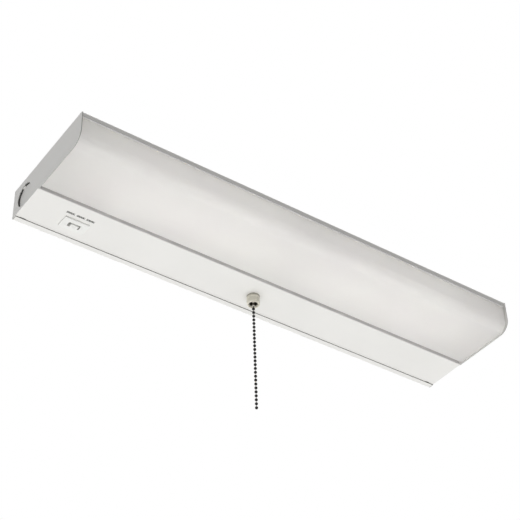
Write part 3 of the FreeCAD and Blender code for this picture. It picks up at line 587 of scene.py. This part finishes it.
# %% [markdown]
# ## Finishes
# Every finish starts from what the real surface is. A single flat colour looks like a toy, and a picture of
# the surface can't be reused, so noise does the work: colour and gloss drift a little from patch to patch,
# and a fine grain bends the light. One function gives all finishes what they share. Patch, grain and height
# are in millimetres on the surface. A moulded or plated grain is really a few hundredths of a millimetre
# wide, too fine to show, so grains under 1 mm are drawn as coarse as they need to be seen.


# %% Colour
def linear(hex_colour):
    """Turns an sRGB hex colour to the linear values that shaders use."""
    channels = [int(hex_colour[place : place + 2], 16) / 255 for place in (1, 3, 5)]
    return [c / 12.92 if c <= 0.04045 else ((c + 0.055) / 1.055) ** 2.4 for c in channels] + [1.0]


print("middle grey on screen is", round(linear("#808080")[0], 3), "in a shader")

# %% One function for all finishes
NOISE_LOW = 0.3
NOISE_HIGH = 0.7


def add(tree, kind, values=None, links=None, **options):
    """Adds a node, sets its options and its inputs' values, and links other inputs to sockets."""
    node = tree.nodes.new("ShaderNode" + kind)
    for name, option in options.items():
        setattr(node, name, option)
    for name, value in (values or {}).items():
        node.inputs[name].default_value = value
    for name, socket in (links or {}).items():
        tree.links.new(socket, node.inputs[name])
    return node


def finish(name, dark, light, rough, patch, grain, height, drawn=1, **shader):
    """A material whose colour and gloss drift over patches, with a grain drawn out along X if asked."""
    material = bpy.data.materials.new(name)
    material.use_nodes = True
    tree = material.node_tree
    surface = tree.nodes["Principled BSDF"]
    place = add(tree, "TexCoord").outputs["Object"]
    drift = add(tree, "TexNoise", {"Scale": 1 / (patch * MM), "Detail": 3.0}, {"Vector": place})
    tint = add(tree, "ValToRGB", links={"Fac": drift.outputs["Fac"]})
    tint.color_ramp.elements[0].position = NOISE_LOW
    tint.color_ramp.elements[0].color = linear(dark)
    tint.color_ramp.elements[1].position = NOISE_HIGH
    tint.color_ramp.elements[1].color = linear(light)
    span = {"From Min": NOISE_LOW, "From Max": NOISE_HIGH, "To Min": rough[0], "To Max": rough[1]}
    gloss = add(tree, "MapRange", span, {"Value": drift.outputs["Fac"]})
    along_x = add(tree, "Mapping", {"Scale": (1 / drawn, 1, 1)}, {"Vector": place}).outputs["Vector"]
    bumps = add(tree, "TexNoise", {"Scale": 1 / (grain * MM), "Detail": 2.0}, {"Vector": along_x})
    relief = add(tree, "Bump", {"Distance": height * MM}, {"Height": bumps.outputs["Fac"]})
    tree.links.new(tint.outputs["Color"], surface.inputs["Base Color"])
    tree.links.new(gloss.outputs["Result"], surface.inputs["Roughness"])
    tree.links.new(relief.outputs["Normal"], surface.inputs["Normal"])
    for socket, value in shader.items():
        surface.inputs[socket.replace("_", " ")].default_value = value
    return material


print("finishes drift between noise values", NOISE_LOW, "and", NOISE_HIGH)

# %% Paint
finishes = {}

# Baked powder on steel sheet: a warm white with a soft sheen, and an orange peel that ripples reflections.
finishes["white_paint"] = finish(
    "white_powder_coat", "#E7E6E3", "#EAE9E6", rough=(0.36, 0.44), patch=40, grain=1.6, height=0.03
)
print("paint:", finishes["white_paint"].name)

# %% [markdown]
# ## The opal lens
# Opal acrylic holds a white powder that scatters light, so the lens looks milky and evenly bright, whichever
# side the light comes from. Scattering inside the sheet can be traced, but that is slow and noisy. A share
# of the surface is made translucent instead, which lets light from the lamp chamber show on the front.

# %% The opal lens
OPAL_SHARE = 0.75


def let_light_through(material, share):
    """Makes a share of the surface translucent, so that light from behind it shows on its front."""
    tree = material.node_tree
    surface = tree.nodes["Principled BSDF"]
    tint = surface.inputs["Base Color"].links[0].from_socket
    through = add(tree, "BsdfTranslucent", links={"Color": tint})
    both = add(tree, "MixShader", {0: share}, {1: surface.outputs[0], 2: through.outputs[0]})
    tree.links.new(both.outputs[0], tree.nodes["Material Output"].inputs["Surface"])


# Extruded sheet: faint lines run the way it was drawn and stretch each highlight. They are really about a
# tenth of a millimetre apart, and are drawn coarser so that they show.
finishes["opal_acrylic"] = finish(
    "opal_acrylic", "#F4F3F3", "#F6F6F5", rough=(0.3, 0.36), patch=60, grain=0.9, height=0.003, drawn=40,
    IOR=1.49,
)
let_light_through(finishes["opal_acrylic"], OPAL_SHARE)
print("opal lens with", OPAL_SHARE, "of its light from behind")

# %% [markdown]
# ## Plastics and rubber
# Moulded plastic takes the skin of its mould, so it is a little pebbled and never quite a mirror. They could
# all share one recipe and change only in colour, but gloss tells nylon from rubber, so each has its own.

# %% Plastics that show
# Moulded ABS: a clean white with a silky, slightly pebbled skin.
finishes["white_plastic"] = finish(
    "white_abs", "#E8E8E5", "#EBEBE8", rough=(0.38, 0.46), patch=8, grain=0.5, height=0.006, IOR=1.54
)

# Moulded nylon: a waxy, yellowish white with soft highlights.
finishes["ivory_nylon"] = finish(
    "ivory_nylon", "#D9D5C6", "#DEDACC", rough=(0.34, 0.42), patch=5, grain=0.6, height=0.008, IOR=1.53
)
print(len(finishes), "finishes so far")

# %% Plastics and rubber inside
# Moulded polycarbonate: a pale, cool grey with a dull gloss.
finishes["driver_plastic"] = finish(
    "grey_polycarbonate", "#C6C7C8", "#CFD0D1", rough=(0.4, 0.5), patch=10, grain=0.5, height=0.01, IOR=1.58
)

# Moulded black nylon: nearly black, with a dim sheen on its edges.
finishes["black_plastic"] = finish(
    "black_nylon", "#1A1A1A", "#222222", rough=(0.42, 0.52), patch=5, grain=0.4, height=0.008, IOR=1.53
)

# Moulded polyamide: a dull cream, as of old piano keys.
finishes["terminal_plastic"] = finish(
    "cream_polyamide", "#DAD7CC", "#E2DFD4", rough=(0.4, 0.5), patch=6, grain=0.4, height=0.008, IOR=1.53
)

# Moulded rubber: a matt black that takes hardly any highlight.
finishes["rubber"] = finish(
    "black_rubber", "#1B1B1B", "#242424", rough=(0.6, 0.72), patch=3, grain=0.3, height=0.01, IOR=1.52
)
print(len(finishes), "finishes so far")

# %% Insulation of the leads
# Extruded vinyl: smooth, even colour with a soft line of gloss along the lead.
vinyls = {
    "black": ("#171717", "#1F1F1F"),
    "white": ("#DEDEDB", "#E6E6E3"),
    "green": ("#1B6A33", "#22763B"),
    "red": ("#962019", "#A42A20"),
}
for colour, (dark, light) in vinyls.items():
    finishes[colour + "_insulation"] = finish(
        colour + "_vinyl", dark, light, rough=(0.35, 0.45), patch=8, grain=0.6, height=0.01, IOR=1.53
    )
print(len(finishes), "finishes so far")

# %% [markdown]
# ## Metals
# Plated steel mirrors the room, and what tells one plating from another is its tint and how blurred that
# mirror is. A metal has no colour under its surface, so Metallic is 1 and the colour tints the reflection.

# %% Plated and drawn steel
# Zinc on steel: a pale grey mirror with cloudy spots.
finishes["zinc_plate"] = finish(
    "zinc_plate", "#A6A39A", "#B9B6AD", rough=(0.28, 0.4), patch=2, grain=0.4, height=0.004,
    Metallic=1.0,
)

# Tumbled nickel: a warm grey with blurred highlights.
finishes["nickel_plate"] = finish(
    "satin_nickel", "#8F8B84", "#9D9991", rough=(0.26, 0.36), patch=1.2, grain=0.3, height=0.003,
    Metallic=1.0,
)

# Black nickel: nearly black, with one small bright point on every ball.
finishes["black_nickel"] = finish(
    "black_nickel", "#252525", "#323232", rough=(0.22, 0.32), patch=1.2, grain=0.3, height=0.003,
    Metallic=1.0,
)

# Drawn wire: a cool grey with a bright line along each turn.
finishes["spring_steel"] = finish(
    "spring_steel", "#85868A", "#97989B", rough=(0.25, 0.35), patch=1, grain=0.2, height=0.003,
    Metallic=1.0,
)
print(len(finishes), "finishes so far")

# %% Metals of the terminals
# Turned brass: a yellow metal with sharp, bright edges.
finishes["brass"] = finish(
    "turned_brass", "#B08A48", "#BE9A58", rough=(0.22, 0.32), patch=1.5, grain=0.2, height=0.003,
    Metallic=1.0,
)

# Zinc dyed green: a thin colour that the metal still glints through.
finishes["green_paint"] = finish(
    "green_dyed_zinc", "#1C6B36", "#257A40", rough=(0.3, 0.4), patch=2, grain=0.3, height=0.004,
    Metallic=0.6,
)
print(len(finishes), "finishes so far")

# %% [markdown]
# ## Boards and lamp chips
# A circuit board wears a thin lacquer, white where it has to throw light back and green elsewhere. The chips
# on it are pads of silicone with a yellow powder inside. They could be left dark, but no light would then
# come from inside the closed case and its lens would look grey, so they have a weak glow.

# %% Boards and lamp chips
CHIP_GLOW = 20.0

# White solder mask: a smooth, half glossy white.
finishes["lamp_board"] = finish(
    "white_solder_mask", "#E4E5E4", "#EAEBEA", rough=(0.3, 0.4), patch=12, grain=0.4, height=0.004
)

# Green solder mask: a deep green lacquer with clear highlights.
finishes["circuit_board"] = finish(
    "green_solder_mask", "#14502B", "#1B5E33", rough=(0.3, 0.4), patch=4, grain=0.3, height=0.006
)

# Silicone with phosphor: a wet yellow that glows white.
finishes["phosphor"] = finish(
    "yellow_silicone", "#D8BE58", "#E2CC6C", rough=(0.2, 0.3), patch=1.5, grain=0.2, height=0.004, IOR=1.41,
    Emission_Color=linear("#FFFAFA"), Emission_Strength=CHIP_GLOW,
)
print(len(finishes), "finishes so far")

# %% [markdown]
# ## Putting the finishes on
# Every solid and every new piece names its finish in a slot. Clicking through the slots one by one is easy
# to get wrong, so a loop reads the names. Only the printed marks differ: they wear ink of their own.

# %% Putting the finishes on
# Screen ink: a flat dark grey that takes no highlight.
ink = finish("grey_screen_ink", "#3C3C3A", "#474744", rough=(0.5, 0.6), patch=1, grain=0.3, height=0.004)

for part in frame["record"]["subparts"]:
    frame["nodes"][part["node"]].material_slots[0].material = finishes[part["material_slot"]]
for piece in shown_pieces():
    slot = piece.get("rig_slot")
    if slot:
        piece.data.materials.clear()
        piece.data.materials.append(ink if piece.name.startswith("mark_") else finishes[slot])
print(len(finishes) + 1, "finishes")

# %% [markdown]
# ## Painted shade on edges, seams and ledges
# Sheet steel is bent first and then sprayed with powder. Some narrow faces get greyer finishes that paint the
# shade falling there. The sheared edge of the lip that holds the wiring cover gets painted shadow where it
# meets the cover, and the cut edges of the end plates get painted shade of the gap beside the lens. The
# cover's flange inside the seam beside the diffuser and the tight bend under the near lip get painted shade,
# and so does the ledge behind that lip. A mask could blend these in one material, but they end at real
# edges, so their faces get their own finishes.

# %% Finishes that paint shade on edges and in seams
# The sheared edge of the far lip: a dull dark grey with torn grain, painted shadow where lip meets cover.
sheared_steel = finish(
    "sheared_steel", "#7A7A78", "#888886", rough=(0.55, 0.7), patch=3, grain=0.15, height=0.01
)

# Cut edges of the end plates: a dry mid grey, painted shade of the gap between plate and lens.
end_edge_painted_shade = finish("worn_cut_edge", "#ACACA9", "#B6B6B3", rough=(0.5, 0.6), patch=6, grain=0.5, height=0.01)

# A light grey: painted shade in the seam beside the diffuser and in the tight bend under the near lip.
seam_and_bend_painted_shade = finish(
    "thin_powder_coat", "#BEBCBC", "#C8C6C6", rough=(0.45, 0.55), patch=12, grain=0.8, height=0.01
)

# The white of the paint, duller and a little darker: painted shade on the ledge behind the near lip.
ledge_painted_shade = finish(
    "dusty_powder_coat", "#DADAD7", "#DFDFDC", rough=(0.5, 0.6), patch=12, grain=0.8, height=0.01
)
print("painted shade places:", sheared_steel.name, end_edge_painted_shade.name, seam_and_bend_painted_shade.name, ledge_painted_shade.name)

# %% Places of painted shade
pan_low, pan_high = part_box("back_pan")
SHEET = 0.8 * MM
FAR_LIP = 5.6 * MM
NEAR_LIP = 5.0 * MM
COVER_BEND = 0.6 * MM
EDGE_BAND = 0.2 * MM

# Limits on how far a normal leans towards the near side, sideways or down, as shares of its length.
NEAR_SIDE_ON_LIP = -0.3
NEAR_SIDE_IN_SEAM = -0.4
SIDEWAYS = 0.5
DOWN_ON_BEND = -0.25
DOWN_ON_LEDGE = -0.92


def on_far_lip_edge(place, normal):
    at_edge = abs(place.y - (pan_high.y - FAR_LIP)) < EDGE_BAND
    return at_edge and place.z < pan_low.z + SHEET and normal.y < NEAR_SIDE_ON_LIP


def in_seam(place, normal):
    on_flange = place.y < cover_low.y + SHEET and place.z > cover_low.z + COVER_BEND
    return on_flange and normal.y < NEAR_SIDE_IN_SEAM


def on_cut_edge(place, normal):
    return abs(place.x) > pan_high.x and abs(normal.x) < SIDEWAYS


def under_near_lip(place):
    return place.y < pan_low.y + NEAR_LIP and -NEAR_LIP - SHEET < place.z < -NEAR_LIP / 2


def on_near_bend(place, normal):
    return under_near_lip(place) and DOWN_ON_LEDGE < normal.z < DOWN_ON_BEND


def on_near_ledge(place, normal):
    return under_near_lip(place) and normal.z <= DOWN_ON_LEDGE


print("the far lip ends at", round((pan_high.y - FAR_LIP) / MM, 2), "mm")


# %% Painted shade
def refinish(piece, material, test):
    """Gives one more material to the faces that pass the test, on their middle and normal."""
    piece.data.materials.append(material)
    chosen = [face for face in piece.data.polygons if test(face.center, face.normal)]
    for face in chosen:
        face.material_index = len(piece.data.materials) - 1
    print(piece.name, "has", len(chosen), "faces of", material.name)


# These finishes paint shade: the shadow line under the far lip, the gaps beside the end plates, the bend under the
# near lip, its ledge, and the seam beside the diffuser.
refinish(channel, sheared_steel, on_far_lip_edge)
refinish(left_end, end_edge_painted_shade, on_cut_edge)
refinish(right_end, end_edge_painted_shade, on_cut_edge)
refinish(channel, seam_and_bend_painted_shade, on_near_bend)
refinish(channel, ledge_painted_shade, on_near_ledge)
refinish(cover_plate, seam_and_bend_painted_shade, in_seam)

# %% [markdown]
# ## Background and floor
# The fixture hangs high above a pale floor, in front of plain white. Only the rays that the eye, a mirror or
# glass sends out should meet that white: as a light it would wash out the object. The Light Path node tells
# these rays apart, so the world and the floor are white for them and dim for the rest.


# %% Background
def seen_rays(tree):
    """A socket that is 1 for rays from the camera, a glossy surface or glass, and 0 for the rest."""
    ray = add(tree, "LightPath").outputs
    seen = add(tree, "Math", links={0: ray["Is Camera Ray"], 1: ray["Is Glossy Ray"]}, operation="MAXIMUM")
    seen = add(tree, "Math", links={0: seen.outputs[0], 1: ray["Is Transmission Ray"]}, operation="MAXIMUM")
    return seen.outputs[0]


DIM_STRENGTH = 0.23
WHITE_STRENGTH = 1.0

world = bpy.data.worlds.new("studio")
bpy.context.scene.world = world
world.use_nodes = True
sky = world.node_tree
sky.nodes.clear()
dim = add(sky, "Background", {"Color": linear("#FFFFFF"), "Strength": DIM_STRENGTH})
white = add(sky, "Background", {"Color": linear("#FFFFFF"), "Strength": WHITE_STRENGTH})
both = add(sky, "MixShader", links={0: seen_rays(sky), 1: dim.outputs[0], 2: white.outputs[0]})
add(sky, "OutputWorld", links={"Surface": both.outputs[0]})
print("world of strength", DIM_STRENGTH, "that looks white")

# %% Floor
FLOOR_Z = -2.3
FLOOR_SIDE = 40

bpy.ops.object.select_all(action="DESELECT")
bpy.ops.mesh.primitive_plane_add(size=FLOOR_SIDE, location=(0, 0, FLOOR_Z))
floor = bpy.context.object
floor.name = "floor"
pale = bpy.data.materials.new("pale_floor")
pale.use_nodes = True
ground = pale.node_tree.nodes["Principled BSDF"]
ground.inputs["Base Color"].default_value = linear("#E4E4E2")
ground.inputs["Roughness"].default_value = 0.8
ground.inputs["Emission Color"].default_value = linear("#D8D8D7")
pale.node_tree.links.new(seen_rays(pale.node_tree), ground.inputs["Emission Strength"])
floor.data.materials.append(pale)
print("floor", FLOOR_SIDE, "m wide at", FLOOR_Z, "m")

# %% [markdown]
# ## Lamps
# A studio lights a white object from all sides with large soft boxes, so that its edges show without hard
# shadows. A sun or a point lamp would draw sharp ones. Five square area lamps look at the fixture: a wide
# one below, which lights the faces that are seen, and weaker ones round it that set the shade of its sides.

# %% Lamps
# Each lamp has its place and side in metres and its power in watts.
lamps = [
    ("lamp_below", (0.0, 0.0, -1.6), 2.4, 27.5),
    ("lamp_left", (-1.8, 0.0, -0.3), 1.2, 5.5),
    ("lamp_right", (1.8, 0.0, -0.3), 1.2, 5.0),
    ("lamp_above", (0.0, 0.0, 1.4), 0.8, 13.0),
    ("lamp_behind", (0.0, 1.8, -0.2), 1.2, 8.0),
]
for name, place, side, watts in lamps:
    bpy.ops.object.light_add(type="AREA", location=place)
    lamp = bpy.context.object
    lamp.name = name
    lamp.data.shape = "SQUARE"
    lamp.data.size = side
    lamp.data.energy = watts
    lamp.visible_camera = False
    lamp.rotation_euler = (-Vector(place)).to_track_quat("-Z", "Y").to_euler()
bpy.context.scene.view_settings.view_transform = "Standard"
print(len(lamps), "lamps")
